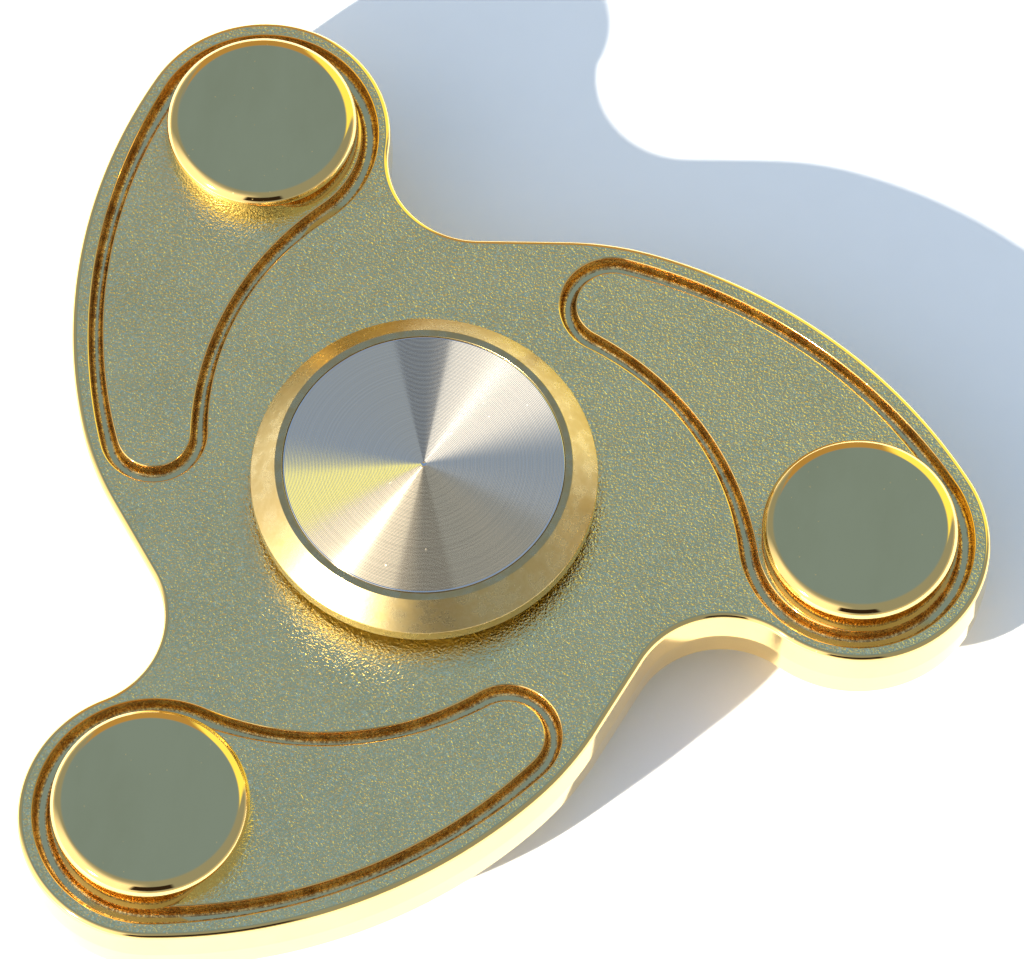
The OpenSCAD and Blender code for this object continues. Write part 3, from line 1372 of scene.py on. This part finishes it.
@dataclass(frozen=True)
class Lamp:
    """A far lamp: its direction from the camera's right, its light and how wide it looks."""

    name: str
    azimuth: float
    height: float
    strength: float
    colour: Colour
    width: float
    mirrored: bool = True


@dataclass(frozen=True)
class Patch:
    """A soft-edged patch of the dome.

    The edge is between two cosines of the turn from its azimuth, and its top and bottom are each
    between two sines of the elevation.
    """

    azimuth: float
    edge: Point
    top: Point | None = None
    bottom: Point | None = None


@dataclass
class Studio:
    """The table, the lamps, the soft dome and the camera."""

    view_azimuth: float = 7.275
    view_elevation: float = 65.085
    eye: Triple = (25.49, -155.79, 350.14)
    focal: float = 207.88
    sensor: float = 36.0
    table: Colour = (0.86, 0.86, 0.86)
    table_half: float = 900.0
    key: Lamp = Lamp("key_lamp", 218.0, 27.0, 12.0, (1.0, 0.93, 0.80), 1.2)
    fill: Lamp = Lamp("fill_lamp", 90.0, 80.0, 1.30, (0.22, 0.50, 1.0), 150.0, mirrored=False)
    sky: Colour = (0.31, 0.355, 0.40)
    zenith: Colour = (0.205, 0.335, 0.60)
    brim: Colour = (0.72, 0.68, 0.58)
    glow: Colour = (1.45, 1.38, 1.25)
    warm_card: Colour = (1.30, 1.22, 0.34)
    dull_card: Colour = (0.48, 0.33, 0.14)
    flag: Colour = (0.03, 0.02, 0.015)
    zenith_edge: Point = (0.84, 0.96)
    brim_edge: Point = (0.04, 0.36)
    glow_patch: Patch = Patch(213.0, edge=(0.55, 0.90), top=(0.70, 0.99))
    card_patch: Patch = Patch(74.0, edge=(0.68, 0.76), top=(0.72, 0.83))
    warm_patch: Patch = Patch(46.0, edge=(0.84, 0.90))
    flag_patch: Patch = Patch(270.0, edge=(0.935, 0.960), top=(0.74, 0.80), bottom=(0.30, 0.36))

    def towards(self, azimuth: float, elevation: float) -> Vector:
        """The direction at an azimuth counted from the camera's right, in degrees.

        Args:
            azimuth: 0 is to the camera's right and 90 away from it.
            elevation: the angle above the table.

        Returns:
            The unit vector.
        """
        a = math.radians(azimuth + self.view_azimuth)
        e = math.radians(elevation)
        return Vector((math.cos(a) * math.cos(e), math.sin(a) * math.cos(e), math.sin(e)))

    def make_camera(self) -> None:
        """Sets up the camera."""
        data = bpy.data.cameras.new("camera")
        data.lens, data.sensor_width = self.focal, self.sensor
        data.clip_start, data.clip_end = 0.01, 10.0
        camera = bare_object("camera", data)
        camera.location = Vector(self.eye) * MM
        back = self.towards(270.0, self.view_elevation)
        right = self.towards(0.0, 0.0)
        up = back.cross(right)
        turn = Matrix((right, up, back)).transposed()
        camera.rotation_mode = "QUATERNION"
        camera.rotation_quaternion = turn.to_quaternion()
        bpy.context.scene.camera = camera

    def make_table(self) -> None:
        """Sets the pale table under the spinner."""
        half = self.table_half
        shell = Shell()
        corners = [shell.corner(x * half, y * half, 0.0) for x, y in ((-1, -1), (1, -1), (1, 1), (-1, 1))]
        shell.face(corners, Skin.POLISHED)
        table = bare_object("studio_table", shell.mesh("studio_table"))
        book = ShaderBook("pale_table")
        tint = book.blend(book.noise(2.5, 3.0), self.table, tuple(c * 0.97 for c in self.table))
        surface = book.add("ShaderNodeBsdfPrincipled", {}, {"Base Color": tint, "Roughness": 0.75})
        book.add("ShaderNodeOutputMaterial", {}, {"Surface": surface.out()})
        table.data.materials.append(book.material)

    def make_lamps(self) -> None:
        """Sets the low key lamp and the overhead fill."""
        for lamp in (self.key, self.fill):
            data = bpy.data.lights.new(lamp.name, "SUN")
            data.energy, data.color, data.angle = lamp.strength, lamp.colour, math.radians(lamp.width)
            stand = bare_object(lamp.name, data)
            stand.rotation_mode = "QUATERNION"
            stand.rotation_quaternion = self.towards(lamp.azimuth, lamp.height).to_track_quat("Z", "Y")
            stand.visible_glossy = lamp.mirrored

    def make_dome(self) -> None:
        """Sets the soft dome: cool above, with a white glow, two warm cards and a dark flag round it."""
        world = bpy.data.worlds.new("dome")
        world.use_nodes = True
        bpy.context.scene.world = world
        book = Book(world.node_tree)
        ray = book.add("ShaderNodeTexCoord").out("Generated")

        def along(direction: Vector) -> Wire:
            """How far a ray of the dome points that way."""
            node = book.add("ShaderNodeVectorMath", {"operation": "DOT_PRODUCT"}, {0: ray, 1: direction})
            return node.out("Value")

        height = along(Vector((0.0, 0.0, 1.0)))
        # A hair over 1 keeps the root above 0 straight overhead
        level = (1.001 - height * height).root()

        def share(patch: Patch) -> Wire:
            """How much of a patch there is in a ray's direction."""
            covered = (along(self.towards(patch.azimuth, 0.0)) / level).ramp(*patch.edge)
            if patch.bottom is not None:
                covered = covered * height.ramp(*patch.bottom)
            if patch.top is not None:
                covered = covered * (1.0 - height.ramp(*patch.top))
            return covered

        cool = along(self.towards(90.0, self.view_elevation)).ramp(*self.zenith_edge)
        overhead = book.blend(cool, self.sky, self.zenith)
        dome = book.blend(height.ramp(*self.brim_edge), self.brim, overhead)
        dome = book.blend(share(self.glow_patch), dome, self.glow)
        card = book.blend(share(self.warm_patch), self.dull_card, self.warm_card)
        dome = book.blend(share(self.card_patch), dome, card)
        dome = book.blend(share(self.flag_patch), dome, self.flag)
        light = book.add("ShaderNodeBackground", {}, {"Color": dome})
        book.add("ShaderNodeOutputWorld", {}, {"Surface": light.out()})

    def build(self) -> None:
        """Sets up everything around the spinner."""
        self.make_camera()
        self.make_table()
        self.make_lamps()
        self.make_dome()
        view = bpy.context.scene.view_settings
        view.view_transform, view.look = "Standard", "None"
        log.info("studio ready")


def main() -> None:
    """Builds every piece and the studio."""
    logging.basicConfig(level=logging.INFO, format="%(name)s: %(message)s")
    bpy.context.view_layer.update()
    Studio().build()
    stack = Stack()
    lathe = Lathe()
    SwirlBody(stack).build(lathe)
    ArmWeights(stack).build(lathe)
    for side in Side:
        FingerCap(stack, side).build(lathe)
    Bearing().build(frame["nodes"])


if __name__ == "__main__":
    main()
